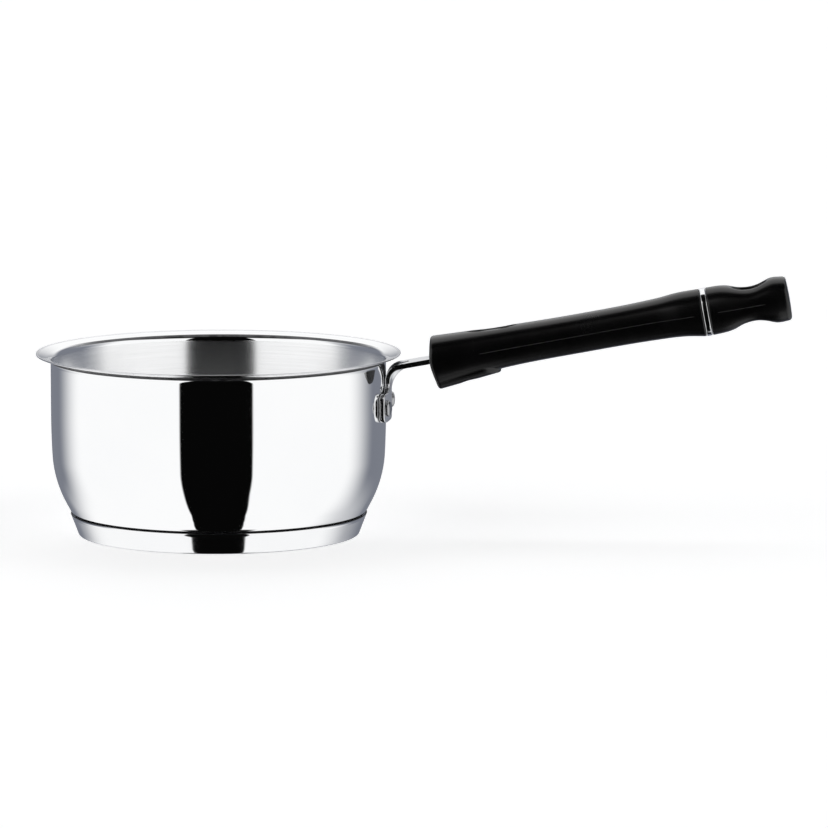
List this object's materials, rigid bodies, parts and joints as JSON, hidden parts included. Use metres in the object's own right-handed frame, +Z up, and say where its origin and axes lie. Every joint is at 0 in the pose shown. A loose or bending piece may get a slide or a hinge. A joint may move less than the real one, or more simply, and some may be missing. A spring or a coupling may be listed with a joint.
{
  "type": "saucepan",
  "caption": "Stainless saucepan with a flared pouring rim, a thick capped base and a riveted bracket that carries a black moulded handle with a hanging eye.",
  "frame": {"origin": "middle of the base on the surface that the pan stands on", "axes": "+Z up, +X along the handle away from the pan, +Y to the handle's left"},
  "size_m": [0.3641, 0.176, 0.1258],
  "materials": {
    "polished_steel": "mirror-polished stainless outside, brushed inside",
    "cap_steel": "polished stainless",
    "core_aluminium": "plain",
    "bracket_steel": "polished stainless",
    "rivet_steel": "polished",
    "black_phenolic": "satin moulded",
    "zinc_steel": "zinc plated",
    "ring_steel": "polished stainless",
    "insert_brass": "plain"
  },
  "bodies": {
    "root": {"pan_shell": "polished_steel", "base_core": "core_aluminium", "base_cap": "cap_steel", "handle_bracket": "bracket_steel", "rivet_near": "rivet_steel", "rivet_far": "rivet_steel", "grip": "black_phenolic", "fixing_screw": "zinc_steel", "spring_washer": "zinc_steel", "clamp_nut": "zinc_steel", "ferrule_ring": "ring_steel", "end_piece": "black_phenolic", "joining_stud": "zinc_steel", "grip_insert": "insert_brass", "end_insert": "insert_brass"}
  },
  "joints": []
}
